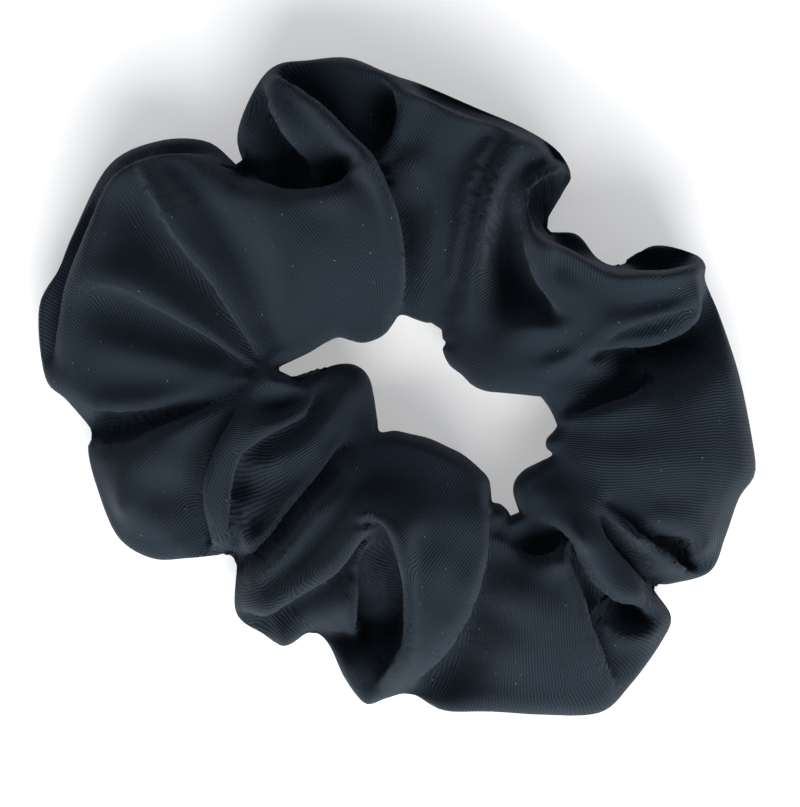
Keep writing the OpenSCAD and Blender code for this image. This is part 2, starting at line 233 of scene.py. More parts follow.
# Edges where one fold lies over another: (X, Y, height of the fold on the left of the line as it
# is followed, height of the cloth under it on the right)
EDGES = [
    # upper left fan
    [(-30, 39, 14, 12), (-35, 39.5, 17.5, 12.5), (-40.5, 39, 20, 12.5), (-45, 37.3, 20.5, 12),
     (-48, 35, 19.5, 11.5), (-50, 31.5, 18.5, 11.5), (-51.3, 28.5, 18, 11), (-53, 24.5, 17.5, 10.5),
     (-54.7, 20.5, 16.5, 10.5), (-56, 16.5, 15.5, 10.5), (-56.7, 12.5, 14.5, 10),
     (-57.5, 8.5, 13, 9.5), (-57.7, 5, 11.5, 9)],
    [(-43.5, 36.5, 22, 20.5), (-40.5, 30.5, 24.5, 20.5), (-38, 25.5, 25, 20), (-35, 21.5, 24.5, 19),
     (-31.5, 17.5, 23, 18), (-28.5, 13, 21, 17), (-25, 8, 18.5, 16), (-22.7, 4.7, 16.5, 15.5)],
    [(-53.5, 14.5, 17.5, 16.5), (-50.5, 16, 20, 16.5), (-46, 15.5, 21.5, 17),
     (-40.5, 13, 22, 17), (-36, 10.5, 21.5, 16.5), (-31.5, 8, 20, 15.5), (-27.5, 5.5, 18, 15.3),
     (-23.5, 3.5, 16.3, 15.2)],
    [(-51.5, -5, 13, 9.5), (-49.5, -4.5, 16, 10.5), (-45.5, -4.5, 17, 11.5), (-41, -4, 17.5, 12.5),
     (-36, -2.5, 17.5, 14), (-30.5, -1, 17.5, 16), (-25.5, 1, 17, 16.5)],
    # lower left lobe
    [(-28, -1.7, 17.5, 16.5), (-34.5, -4.5, 17.5, 13.5), (-41, -7, 16.5, 12),
     (-44.5, -8.5, 15, 11), (-48, -9, 13, 9.8), (-51, -9, 11, 8.5)],
    # twisted strip, both sides, and the loop fold
    [(-26, -3, 20, 18), (-29, -7, 21.5, 16.5), (-31.5, -12, 22, 13.5), (-32.5, -16, 22, 11.5),
     (-32.5, -20.5, 20, 10), (-31.5, -25, 16, 8.5), (-31, -27.5, 11, 8)],
    [(-27.5, -26, 14, 11), (-27.2, -22, 19, 13), (-26.7, -16.5, 21, 14), (-25.5, -12, 21.5, 15),
     (-23.5, -10, 21.5, 16), (-20.5, -8, 21, 16.5), (-17.5, -6.5, 20.5, 16.5),
     (-15, -5, 20, 16.5), (-14, -3, 19.5, 16), (-13.7, -1, 18, 15.5)],
    [(-26, -27.8, 14, 9), (-24, -28.2, 15, 9), (-22, -26.5, 17, 10.5), (-19.5, -23.5, 19, 12),
     (-17, -20, 20, 13), (-14, -16.5, 20.5, 14), (-11, -12.5, 20.5, 15.3), (-9, -9, 19.5, 16)],
    # big lobe and beak
    [(2.5, -50.3, 12, 8), (5.5, -48, 15, 8.5), (8.8, -44.7, 18, 9), (11.8, -40.2, 20, 10),
     (13.8, -35.5, 22, 11), (15.2, -30.5, 23.5, 12.5), (15.7, -27, 24, 15),
     (15.8, -22.2, 23.5, 17), (15.3, -18.5, 22, 17)],
    [(-4.5, -21.7, 30.5, 24), (-2.8, -22.8, 31, 20), (-1.7, -24.7, 31.5, 18),
     (-0.7, -27.7, 31.5, 16.5), (0.2, -31.3, 31, 14), (0.5, -35, 30, 9.5), (0.5, -38.8, 28, 6),
     (0.3, -41.7, 26, 10), (-0.7, -44.2, 23, 14), (-2.2, -46.8, 20, 15), (-3.5, -50, 15.5, 14)],
    [(-27, -37.3, 10.5, 8), (-25, -38, 14, 9), (-22, -38.7, 17, 10), (-19.8, -37.7, 19.5, 12),
     (-17.3, -36, 21.5, 14.5), (-14.5, -34.2, 23.5, 16.5), (-12, -32.8, 25, 17),
     (-9.8, -31.3, 26, 17), (-7.8, -29.2, 27, 17.5), (-5.8, -26.3, 28, 18.5),
     (-4.3, -23.8, 29.5, 20)],
    [(-6.7, -41, 13, 5), (-6, -38, 17, 5), (-5.7, -33.8, 20, 8), (-5, -29.7, 22, 14),
     (-4, -26, 23, 18)],
    [(-12.8, -41, 11, 8.5), (-10.3, -41.3, 12, 9), (-7.8, -41.3, 12, 8.5)],
    # bottom panel, over the valley on its right and over the pocket
    [(37.2, -50.5, 14, 13), (35.8, -46.3, 17.5, 14), (34.3, -42.2, 20, 14), (32.5, -37.5, 22, 13.5),
     (30.7, -33, 23, 13), (29.2, -29.2, 23, 13.5), (28, -26.3, 22, 15)],
    [(27.5, -25.7, 21, 15.5), (25.5, -27, 20, 13), (23, -27.5, 18.5, 13), (20.5, -26.7, 17.8, 15),
     (18.5, -25.2, 17.5, 16.7)],
    # fingers
    [(50.5, -31.3, 13, 9), (48, -29, 19, 8.5), (44.5, -26.2, 21, 11), (41.5, -24, 22, 16),
     (38, -21.7, 22, 19), (34.7, -19.6, 21.5, 20)],
    [(42.5, -32.9, 15, 9.5), (40.2, -30.2, 19, 12), (37.5, -27.2, 20.5, 12.5),
     (35.3, -24.4, 21, 14), (33.8, -21.9, 21, 17)],
    [(24.7, -22.2, 19, 16.3), (27.2, -24.3, 20, 15), (29.7, -27.5, 20.5, 13.5),
     (32.2, -31.7, 20, 12.5), (34.5, -34.5, 19.5, 11), (36.8, -36.4, 19, 8),
     (39.7, -36.8, 18, 8), (41.7, -37.8, 16.5, 9)],
    # right panel, under the roll and over its own pocket
    [(42, 1, 17, 11), (38, -1, 18.5, 12), (34, -2.5, 18.5, 13), (30.5, -4, 18, 14.5),
     (28, -5, 17, 15.7)],
    [(40.5, -23, 19, 17.5), (43, -24.3, 18.5, 13), (46.3, -25, 18, 9), (48.8, -25.8, 17, 7),
     (50.5, -27.7, 15, 7)],
    # cuff: rim, left side, lower hem and right side
    [(51, 21.7, 24, 16), (49, 21, 26, 12), (46.5, 20.5, 27, 10), (44, 20, 27.5, 9),
     (40.5, 20, 27.5, 9), (37.5, 20.2, 27.5, 10), (35, 20.7, 27.5, 11), (32, 21.7, 27.5, 11),
     (29.5, 23, 27.5, 11), (27, 24.2, 27.5, 11), (25, 25.5, 27, 11.5), (23.5, 26.7, 26.5, 13),
     (22.5, 28, 26, 17), (22, 30, 25.5, 17), (22.5, 32, 25, 17), (24, 33.5, 24, 16),
     (26.5, 35, 23, 15), (28, 36.3, 21.5, 13)],
    [(21.2, 29, 24, 16), (20.3, 26, 25, 12.5), (20.3, 23.5, 25.5, 11.5), (21, 21, 25.5, 12),
     (22, 18, 25, 14), (24, 15, 24.5, 17), (26.5, 12.5, 24, 20)],
    [(33.5, 7.3, 24.5, 23.7), (37.2, 9, 26.3, 22.8), (42.2, 10.8, 26.8, 22.5),
     (47.2, 12.2, 26.8, 22.5), (50, 13.3, 25.5, 23.3)],
    [(32, 6, 23, 19), (35.5, 5.7, 23, 12), (39, 5.7, 22, 7), (42, 6, 21.5, 5.5), (45.5, 7, 21.5, 5),
     (48.3, 8.3, 21.5, 5.5), (50.2, 10, 22, 7), (51, 12, 23, 9), (51.1, 14.5, 24.5, 11),
     (51.1, 17.3, 24.5, 11.5)],
    # pleated panel's upper edge, over the rim behind it, and its left side over the hollow
    [(20.5, 42.5, 20, 14), (17, 44, 22, 13), (12, 45.5, 23, 13), (7, 47.5, 23.5, 13),
     (3, 49.3, 23, 14)],
    [(-2.5, 51.2, 21.5, 18), (-1, 48.5, 22.5, 13.5), (-0.5, 45.5, 23, 10), (-1.3, 42, 22, 9.5),
     (-1.9, 39.5, 19, 10.5)],
    # top roll's edge over the hollow, and the front panel's lip over the groove
    [(0, 12, 16.5, 15.3), (1.5, 15, 19.5, 15.5), (2, 18, 23, 16), (2, 21.5, 26, 16),
     (1.5, 25.5, 28.5, 15.5), (0.5, 30, 30.5, 14.5), (-1, 34, 31.5, 13), (-2.5, 37.5, 31.5, 11.5),
     (-4, 39.5, 31, 10.5), (-6.5, 41.8, 30.5, 9), (-9, 44.5, 29.5, 9), (-12, 47.3, 28.5, 10),
     (-15.5, 49.7, 27, 12), (-18.5, 51.7, 24, 14.5), (-21, 52.7, 20.5, 16.5)],
    [(-20.8, 53, 18.5, 16.5), (-22.3, 50.8, 20.5, 15.5), (-22, 47, 22.5, 14.5),
     (-20.2, 43, 23.5, 13.5), (-17.8, 39.7, 23, 13.5), (-14.8, 36.8, 20, 13),
     (-12.5, 35.3, 15.5, 12.5)],
    [(-7.5, 36.8, 29.5, 18), (-8.5, 35, 28.5, 14), (-11, 34, 26.5, 12), (-14.5, 33.5, 24.5, 12),
     (-18, 33.5, 22.5, 12), (-21, 34.5, 20.5, 12), (-24, 35.5, 17, 10.5)],
]

ROUND_RIM, ROUND_EDGE = 3.5, 2.4          # how far the top curves over at the rim and opening
UNDER_RIM, UNDER_EDGE = 9.0, 6.0          # the same on the underside
LOOP_CENTRE = np.array([4.24, -0.51])     # the elastic's loop: two arcs joined by straight runs
LOOP_RADIUS, LOOP_STRAIGHT = 13.5, 13.5
EDGE_REACH = 12.2                         # the opening's edge stays inside the elastic


def spline(points, share, closed=False):
    """A smooth curve through the points, at each share of the way along them."""
    n = len(points)
    at = np.asarray(share) * (n if closed else n - 1)
    k = np.floor(at).astype(int)
    if closed:
        a, b, c, d = (points[(k + m) % n] for m in (-1, 0, 1, 2))
    else:
        k = np.minimum(k, n - 2)
        a, b, c, d = (points[np.clip(k + m, 0, n - 1)] for m in (-1, 0, 1, 2))
    t = (at - k)[:, None]
    return 0.5 * (2 * b + (c - a) * t + (2 * a - 5 * b + 4 * c - d) * t**2
                  + (3 * b - a - 3 * c + d) * t**3)


def run_length(points):
    """How far along a line each of its points lies."""
    return np.concatenate([[0], np.cumsum(np.linalg.norm(np.diff(points, axis=0), axis=1))])


def even_line(points, step):
    """Points about one step apart along a smooth open line; a single point stays as it is."""
    points = np.array(points, float)
    if len(points) == 1:
        return points
    share = np.linspace(0, 1, 12 * len(points))
    along = run_length(spline(points, share)[:, :2])
    goal = np.linspace(0, along[-1], max(3, round(along[-1] / step) + 1))
    return spline(points, np.interp(goal, along, share))


# The cover's columns are spaced along the cloth, two thirds of the way out to the rim, and each
# point of an edge that lies near brings them a little closer together.
RUN_RIM, RUN_EDGE = 0.67, 0.33
MIDDLE_RIM, MIDDLE_EDGE = 0.6, 0.4
CROWD_REACH, CROWD_SHARE = 13, 0.06
outline = np.array(STATIONS, float)
share = np.linspace(0, 1, 4001)
fine = spline(outline, share % 1, closed=True)
along = run_length(fine[:, :2] * RUN_RIM + fine[:, 3:5] * RUN_EDGE)
fold_points = np.array([point[:2] for edge in EDGES for point in edge])
middle = fine[:, :2] * MIDDLE_RIM + fine[:, 3:5] * MIDDLE_EDGE
near = ((middle[:, None] - fold_points)**2).sum(axis=2) < CROWD_REACH**2
crowd = 1 + CROWD_SHARE * near.sum(axis=1)
along = np.concatenate([[0], np.cumsum(np.diff(along) * (crowd[1:] + crowd[:-1]) / 2)])
goal = np.linspace(0, along[-1], COLUMNS, endpoint=False)
columns = spline(outline, np.interp(goal, along, share) % 1, closed=True)
rim_xy, rim_z, edge_xy = columns[:, :2], columns[:, 2], columns[:, 3:5]
opening = spline(np.array(OPENING), np.linspace(0, 1, 1201) % 1, closed=True)
opening_run = run_length(opening)
tip = int(np.argmin(np.linalg.norm(edge_xy - OPENING[0], axis=1)))
rough_run = run_length(np.roll(edge_xy, -tip, axis=0))
rough_run = rough_run / (rough_run[-1] + np.linalg.norm(edge_xy[tip] - edge_xy[tip - 1]))
at = np.roll(rough_run, tip) * opening_run[-1]
edge_xy = np.stack([np.interp(at, opening_run, opening[:, k]) for k in (0, 1)], axis=1)

spot = to_frame(edge_xy) - LOOP_CENTRE
hub = np.stack([np.clip(spot[:, 0], -LOOP_STRAIGHT, LOOP_STRAIGHT), np.zeros(COLUMNS)], axis=1)
arm = spot - hub
reach = np.linalg.norm(arm, axis=1, keepdims=True)
edge_xy = to_plan(hub + arm * np.minimum(1, EDGE_REACH / reach) + LOOP_CENTRE)

# Marks that the top of the cloth passes through: along each line, and on both sides of each edge
EDGE_GAP, EDGE_SLOPE, EDGE_SOFT = 0.45, 0.03, 0.5
CREST_SOFT, PANEL_SOFT = 1.4, 5.0
LINE_STEP, EDGE_STEP = 1.2, 1.0
MARK_GIVE = 0.05       # how loosely the cloth is held to a mark
marks = []
for line in LINES:
    path = even_line(line, LINE_STEP)
    soft = CREST_SOFT if len(line) > 3 else PANEL_SOFT
    marks.append(np.column_stack([path, np.full(len(path), soft)]))
for edge in EDGES:
    path = even_line(edge, EDGE_STEP)
    heading = np.gradient(path[:, :2], axis=0)
    heading /= np.linalg.norm(heading, axis=1, keepdims=True)
    left = np.stack([-heading[:, 1], heading[:, 0]], axis=1)
    left *= (EDGE_GAP + EDGE_SLOPE * (path[:, 2] - path[:, 3]))[:, None]
    soft = np.full(len(path), EDGE_SOFT)
    marks.append(np.column_stack([path[:, :2] + left, path[:, 2], soft]))
    marks.append(np.column_stack([path[:, :2] - left, path[:, 3], soft]))
marks = np.concatenate(marks)


def skin(xy):
    """How much each mark pulls on the cloth at each place: a cone with a rounded tip."""
    square = (xy**2).sum(1)[:, None] + (marks[:, :2]**2).sum(1)[None, :] - 2 * xy @ marks[:, :2].T
    return np.sqrt(np.maximum(square, 0) + marks[:, 3]**2)


# A stretched skin through the marks, worked out once on a fine map of the plan
system = np.ones((len(marks) + 1, len(marks) + 1))
system[:-1, :-1] = skin(marks[:, :2]) - np.eye(len(marks)) * MARK_GIVE
system[-1, -1] = 0
weights = np.linalg.solve(system, np.append(marks[:, 2], 0))

MAP_STEP = 0.35
MAP_REACH = 64.0
map_count = int(2 * MAP_REACH / MAP_STEP) + 1
axis = np.linspace(-MAP_REACH, MAP_REACH, map_count)
map_xy = np.stack(np.meshgrid(axis, axis, indexing="ij"), axis=2).reshape(-1, 2)
fold_map = np.concatenate([skin(part) @ weights[:-1] + weights[-1]
                           for part in np.array_split(map_xy, 60)])


def nearest(xy, line):
    """How far each place is from the nearest point of a line."""
    return np.concatenate([np.sqrt(np.maximum(
        (part**2).sum(1)[:, None] + (line**2).sum(1)[None, :] - 2 * part @ line.T, 0)).min(axis=1)
        for part in np.array_split(xy, 40)])


def curl(distance, reach):
    """0 at an edge and 1 from reach inwards, along a quarter circle."""
    q = 1 - np.clip(distance / reach, 0, 1)
    return np.sqrt(np.clip(1 - q**2, 0, 1))


def within(xy, line):
    """Which places lie inside a closed line."""
    odd = np.zeros(len(xy), bool)
    for (x0, y0), (x1, y1) in zip(line, np.roll(line, -1, axis=0)):
        spans = (y0 > xy[:, 1]) != (y1 > xy[:, 1])
        odd ^= spans & (xy[:, 0] < x0 + (xy[:, 1] - y0) * (x1 - x0) / ((y1 - y0) or 1))
    return odd


# How far each place of the map is from the rim, the opening's edge and the nearer of the two;
# the last is negative outside the cloth.
rim_gap = nearest(map_xy, spline(rim_xy, np.linspace(0, 1, 1500) % 1, closed=True))
edge_gap = nearest(map_xy, spline(edge_xy, np.linspace(0, 1, 600) % 1, closed=True))
cloth_gap = np.minimum(rim_gap * np.where(within(map_xy, rim_xy), 1, -1),
                       edge_gap * np.where(within(map_xy, edge_xy), -1, 1))


def on_map(values, xy):
    """Values of the map at any plan points, between its own points."""
    at = np.clip((xy + MAP_REACH) / MAP_STEP, 0, map_count - 1.001)
    k = at.astype(int)
    t = at - k
    grid = values.reshape(map_count, map_count)
    i, j, ti, tj = k[..., 0], k[..., 1], t[..., 0], t[..., 1]
    return ((grid[i, j] * (1 - ti) + grid[i + 1, j] * ti) * (1 - tj)
            + (grid[i, j + 1] * (1 - ti) + grid[i + 1, j + 1] * ti) * tj)


def top_height(xy):
    """Height of the top, which curves down to the rim and to the opening's edge."""
    rim = rim_z[:, None]
    z = rim + (on_map(fold_map, xy) - rim) * curl(on_map(rim_gap, xy), ROUND_RIM)
    return EDGE_Z + (z - EDGE_Z) * curl(on_map(edge_gap, xy), ROUND_EDGE)


def under_height(xy):
    """Height of the underside: flat on the ground, and rising to the rim and the edge."""
    z = rim_z[:, None] * (1 - curl(on_map(rim_gap, xy), UNDER_RIM))
    return np.maximum(z, EDGE_Z * (1 - curl(on_map(edge_gap, xy), UNDER_EDGE))) + CLOTH_T * 0.6


def spread(rows):
    """The grid before it is relaxed: rows closer together near the opening's edge and the rim."""
    t = np.linspace(0, 1, rows + 1)
    t = 0.45 * (1 - np.cos(math.pi * t)) / 2 + 0.55 * t
    return edge_xy[:, None, :] * (1 - t)[None, :, None] + rim_xy[:, None, :] * t[None, :, None]


# Slide the grid over the surface until steep places have as much mesh as flat ones. A point
# that would leave the cloth's outline stays where it is.
RELAX_TURNS, RELAX_MARGIN = 160, 0.1
top_xy = spread(TOP_ROWS)
for _ in range(RELAX_TURNS):
    p = np.dstack([top_xy, top_height(top_xy)])
    pull = np.zeros_like(top_xy)
    total = np.zeros(top_xy.shape[:2] + (1,))
    for way, step in ((0, 1), (0, -1), (1, 1), (1, -1)):
        other = np.roll(p, step, axis=way)
        length = ((other - p) ** 2).sum(axis=2, keepdims=True)
        pull += other[..., :2] * length
        total += length
    moved = top_xy * 0.5 + pull / np.maximum(total, 1e-9) * 0.5
    gap = on_map(cloth_gap, moved)
    leaving = (gap < RELAX_MARGIN) & (gap < on_map(cloth_gap, top_xy))
    moved = np.where(leaving[..., None], top_xy, moved)
    top_xy[:, 1:-1] = moved[:, 1:-1]
top = np.dstack([top_xy, top_height(top_xy)])
low_xy = spread(LOW_ROWS)
low = np.dstack([low_xy, under_height(low_xy)])
top[:, 0, 2] = low[:, 0, 2] = EDGE_Z
top[:, -1, 2] = low[:, -1, 2] = rim_z

# One ring of rows: over the top from the opening's edge to the rim, then back underneath. Each
# point then moves a little towards the middle of its four neighbours.
KEEP, SMOOTH = 0.7, 0.3
tube = np.concatenate([top, low[:, -2:0:-1]], axis=1)
ring = (np.roll(tube, 1, 0) + np.roll(tube, -1, 0)
        + np.roll(tube, 1, 1) + np.roll(tube, -1, 1)) / 4
tube = tube * KEEP + ring * SMOOTH
rows = tube.shape[1]

# Which way the ribs of the weave run across each fold: (X, Y, degrees up from X)
RIBS = [
    (-44.5, 39.5, 135), (-39.5, 31, 104), (-48, 29, 120), (-54.5, 19.5, 142), (-49.5, 21, 136),
    (-36, 21, 121), (-33, 33, 119), (-46, 9.5, 130), (-56, 1, 147), (-41, 1, 135),
    (-31, 3, 150), (-23, 16, 117), (-23, 28, 128), (-16, 28, 126), (-9.5, 28, 124),
    (-16, 18, 130), (-9.5, 16, 125), (-3.7, 23, 115), (-4.5, 13, 90), (-18, 9, 102),
    (-24.5, 44.5, 84), (-21, 39.5, 70), (-18, 49.5, 140), (-16, 44.5, 110), (-11, 41, 95),
    (-11, 53.5, 113), (-4.5, 51, 101), (-8, 48, 110), (1.3, 39.5, 49), (3.8, 44.5, 60),
    (7, 38, 62), (7, 28, 67), (5.5, 18, 73), (14, 39.5, 65), (12, 31, 72), (10.5, 21, 61),
    (17, 39.5, 52), (22, 39.5, 41), (15.5, 28, 67), (13, 18, 40), (12, 9.5, 32), (17, 6, 38),
    (24, 9.5, 47), (24, 29.5, 88), (27, 19.5, 99), (37, 16, 73), (47, 16, 29), (32, 13, 60),
    (44, 8.7, 35), (24, 2, 48), (34, 2, 27), (32, -1.3, 11), (42, 22.8, 1), (54, 9.5, 25),
    (50.5, -2, 25), (40.5, -4, 10), (57, -9, 0), (32, -9, 6), (42, -12, 15), (37, -17, 0),
    (55.5, -19, 3), (27, -15.5, 149), (30.5, -19, 152), (35.5, -25.5, 155), (40.5, -32, 142),
    (42, -27, 150), (47, -31, 120), (44, -35.5, 150), (29, -30.5, 111), (32, -35.5, 114),
    (37, -42, 141), (40.5, -44, 126), (20.5, -32, 70), (27, -39, 90), (17, -43, 60),
    (24, -50.5, 85), (32, -50.5, 110), (5.5, -14, 62), (-1, -10.5, 71), (-8, -15.5, 80),
    (-13, -20.5, 80), (-18, -27, 78), (-22, -33, 70), (5.5, -25.5, 48), (12, -22, 46),
    (12, -32, 47), (5.5, -35.5, 47), (7, -42, 40), (-4.5, -49, 64), (-13, -35.5, 154),
    (-2, -34, 154), (-20, -39, 150), (-46, -14, 42), (-41, -19, 44), (-36, -25.5, 47),
    (-46, -22, 44), (-33, -8, 30), (-29.5, -14, 112), (-29.5, -20.5, 126), (-21, 0.3, 35),
    (-11, -4, 29), (-8, -0.5, 33), (-25.3, -19, 13), (-23, -14, 4), (-16, -10.5, 20),
]


BESIDE_STEP, BESIDE_REACH, FAR = 0.6, 6, 99.0


def beside(edge, xy):
    """The edge's points and their right sides, then for each place the nearest of them, how far
    off it is, and how far to its right."""
    path = even_line(edge, BESIDE_STEP)
    heading = np.gradient(path[:, :2], axis=0)
    heading /= np.linalg.norm(heading, axis=1, keepdims=True)
    right = np.stack([heading[:, 1], -heading[:, 0]], axis=1)
    k, gap = np.zeros(len(xy), int), np.full(len(xy), FAR)
    low = path[:, :2].min(axis=0) - BESIDE_REACH
    high = path[:, :2].max(axis=0) + BESIDE_REACH
    close = np.flatnonzero(((xy > low) & (xy < high)).all(axis=1))
    apart = ((xy[close, None] - path[None, :, :2])**2).sum(axis=2)
    k[close] = apart.argmin(axis=1)
    gap[close] = np.sqrt(apart.min(axis=1))
    aside = ((xy - path[k, :2]) * right[k]).sum(axis=1)
    return path, right, k, gap, aside


# The cloth's own run is broken where one fold lies over another.
BREAK_REACH, BREAK_HOLD = 1.5, 0.02
over = tube[:, :TOP_ROWS].reshape(-1, 3).copy()
near_edges = [beside(edge, over[:, :2]) for edge in EDGES]
breaks = [np.ones((COLUMNS - 1, rows)), np.ones((COLUMNS, rows - 1))]
for path, right, k, gap, aside in near_edges:
    side = np.where(gap < BREAK_REACH, np.sign(aside), 0).reshape(COLUMNS, TOP_ROWS)
    breaks[0][:, :TOP_ROWS][side[1:] * side[:-1] < 0] = BREAK_HOLD
    breaks[1][:, :TOP_ROWS - 1][side[:, 1:] * side[:, :-1] < 0] = BREAK_HOLD


RIB_HUB = [2, -3]      # the ribs are counted clockwise round this place
RIB_BLUR = 4           # mm2 added to a rib mark's squared distance
RIB_FLATTEST = 0.4     # least length of the field once it is laid on the cloth
SLIP_SLOPE = 1.8       # the cloth's run slips where it is steeper than this
RIB_TURNS = 1600
ANCHOR = 1e-7          # a very weak hold on the whole field, which has no zero of its own


def measure_ribs(turn):
    """Cloth distance across the ribs, in mm, at each point of the tube. It is the field that
    best fits the ribs' directions, and it may slip where one fold drops steeply to the next."""
    ribs = np.array(RIBS, float)
    angle = np.radians(ribs[:, 2])
    aim = np.stack([-np.sin(angle), np.cos(angle)], axis=1)
    arm = ribs[:, :2] - RIB_HUB
    aim *= np.sign(aim[:, 0] * arm[:, 1] - aim[:, 1] * arm[:, 0])[:, None]
    c, s = math.cos(turn), math.sin(turn)
    aim = aim @ np.array([[c, s], [-s, c]])
    flat = tube[..., :2].reshape(-1, 2)
    pull = np.concatenate([
        1 / (((part[:, None, :] - ribs[None, :, :2])**2).sum(2) + RIB_BLUR)**3
        for part in np.array_split(flat, 30)])
    field = pull @ aim
    field /= np.linalg.norm(field, axis=1, keepdims=True)
    field = np.dstack([field.reshape(COLUMNS, rows, 2), np.zeros((COLUMNS, rows))])
    normal = np.cross(np.gradient(tube, axis=0), np.gradient(tube, axis=1))
    normal /= np.linalg.norm(normal, axis=2, keepdims=True) + 1e-9
    field -= normal * (field * normal).sum(axis=2, keepdims=True)
    field /= np.maximum(np.linalg.norm(field, axis=2, keepdims=True), RIB_FLATTEST)
    goals, holds = [], []
    for way in (0, 1):
        step = np.diff(tube, axis=way)
        both = (np.take(field, range(1, tube.shape[way]), way)
                + np.take(field, range(tube.shape[way] - 1), way)) / 2
        goals.append((step * both).sum(axis=2))
        steep = np.abs(step[..., 2]) / (np.linalg.norm(step[..., :2], axis=2) + 0.05)
        slip = 1 + (steep / SLIP_SLOPE)**4
        holds.append(breaks[way] / slip / (np.linalg.norm(step, axis=2) + 0.1))

    def gather(flows):
        out = np.zeros((COLUMNS, rows))
        out[1:] += flows[0]
        out[:-1] -= flows[0]
        out[:, 1:] += flows[1]
        out[:, :-1] -= flows[1]
        return out

    def spring(x):
        return gather([holds[way] * np.diff(x, axis=way) for way in (0, 1)]) + ANCHOR * x

    found = np.zeros((COLUMNS, rows))
    rest = gather([holds[way] * goals[way] for way in (0, 1)])
    aimed = rest.copy()
    power = (rest * rest).sum()
    for _ in range(RIB_TURNS):
        sprung = spring(aimed)
        share = power / (aimed * sprung).sum()
        found += share * aimed
        rest -= share * sprung
        last, power = power, (rest * rest).sum()
        aimed = rest + power / last * aimed
    return found


across_ribs, along_ribs = measure_ribs(0), measure_ribs(math.pi / 2)

# Where one fold lies over another, the lower cloth runs on beneath the upper fold's lip.
TUCK, TUCK_REACH, TUCK_DROP = 2.2, 4.5, 6.0
TUCK_TOP, TUCK_LEAST = 0.4, 0.5           # depth under the lip where it starts; least drop
TUCK_BACK, TUCK_ENDS = 1.5, 5             # fades out left of an edge and at its ends
KEEP_EDGE, KEEP_RIM, KEEP_FADE = 0.8, 0.6, 2
shift = np.zeros((len(over), 2))
for path, right, k, gap, aside in near_edges:
    drop = np.maximum(path[k, 2] - path[k, 3], TUCK_LEAST)
    below = np.clip((path[k, 2] - TUCK_TOP - over[:, 2]) / drop, 0, 1)
    below = below * below * (3 - 2 * below)
    fade = (np.clip(1 - gap / TUCK_REACH, 0, 1)
            * np.clip((aside + TUCK_BACK) / TUCK_BACK, 0, 1))
    ends = np.minimum(1, np.minimum(k, len(path) - 1 - k) / TUCK_ENDS)
    depth = TUCK * np.minimum(1, drop / TUCK_DROP) * below * fade * ends
    shift -= right[k] * depth[:, None]
size = np.linalg.norm(shift, axis=1, keepdims=True)
shift *= np.minimum(1, TUCK / np.maximum(size, 1e-9))
inside = (np.clip((on_map(edge_gap, over[:, :2]) - KEEP_EDGE) / KEEP_FADE, 0, 1)
          * np.clip((on_map(rim_gap, over[:, :2]) - KEEP_RIM) / KEEP_FADE, 0, 1))
tube[:, :TOP_ROWS, :2] += (shift * inside[:, None]).reshape(COLUMNS, TOP_ROWS, 2)
tube[..., :2] = to_frame(tube[..., :2].reshape(-1, 2)).reshape(COLUMNS, rows, 2)

mesh = bpy.data.meshes.new("cover")
index = np.arange(COLUMNS * rows).reshape(COLUMNS, rows)
ahead = np.roll(index, -1, axis=0)
faces = np.stack([index, ahead, np.roll(ahead, -1, axis=1), np.roll(index, -1, axis=1)], axis=2)
mesh.from_pydata((tube.reshape(-1, 3) / 1000).tolist(), [], faces.reshape(-1, 4).tolist())
weave = mesh.uv_layers.new(name="weave")
i, j = np.meshgrid(np.arange(COLUMNS), np.arange(rows), indexing="ij")
corners = [(i, j), (i + 1, j), (i + 1, j + 1), (i, j + 1)]
cloth = np.pad(np.dstack([across_ribs, along_ribs]), ((0, 1), (0, 1), (0, 0)), mode="edge")
uv = np.stack([cloth[ci, cj] for ci, cj in corners], axis=2)
weave.data.foreach_set("uv", (uv.reshape(-1) / 1000).astype(np.float32))
cover = bpy.data.objects.new("cover", mesh)
scene.collection.objects.link(cover)


def face_outwards(piece, smooth=True):
    work = bmesh.new()
    work.from_mesh(piece.data)
    bmesh.ops.recalc_face_normals(work, faces=work.faces)
    work.to_mesh(piece.data)
    work.free()
    for face in piece.data.polygons:
        face.use_smooth = smooth


def apply_modifier(piece, kind, **settings):
    modifier = piece.modifiers.new(kind.lower(), kind)
    for name, value in settings.items():
        setattr(modifier, name, value)
    bpy.context.view_layer.objects.active = piece
    bpy.ops.object.modifier_apply(modifier=modifier.name)


face_outwards(cover)
apply_modifier(cover, "SOLIDIFY", thickness=CLOTH_T / 1000, offset=-1, use_even_offset=False)


def srgb(code):
    """A colour written as sRGB hex, turned to linear with full alpha."""
    parts = [int(code[k:k + 2], 16) / 255 for k in (1, 3, 5)]
    linear = [p / 12.92 if p <= 0.04045 else ((p + 0.055) / 1.055) ** 2.4 for p in parts]
    return (*linear, 1)


def add(tree, kind, settings=None, links=None):
    """Add a node, set its properties or inputs, and link its inputs to other nodes' outputs."""
    node = tree.nodes.new(kind)
    for name, value in (settings or {}).items():
        if isinstance(name, str) and hasattr(node, name):
            setattr(node, name, value)
        else:
            node.inputs[name].default_value = value
    for name, source in (links or {}).items():
        tree.links.new(source, node.inputs[name])
    return node


def new_material(name):
    material = bpy.data.materials.new(name)
    material.use_nodes = True
    material.node_tree.nodes.clear()
    return material, material.node_tree


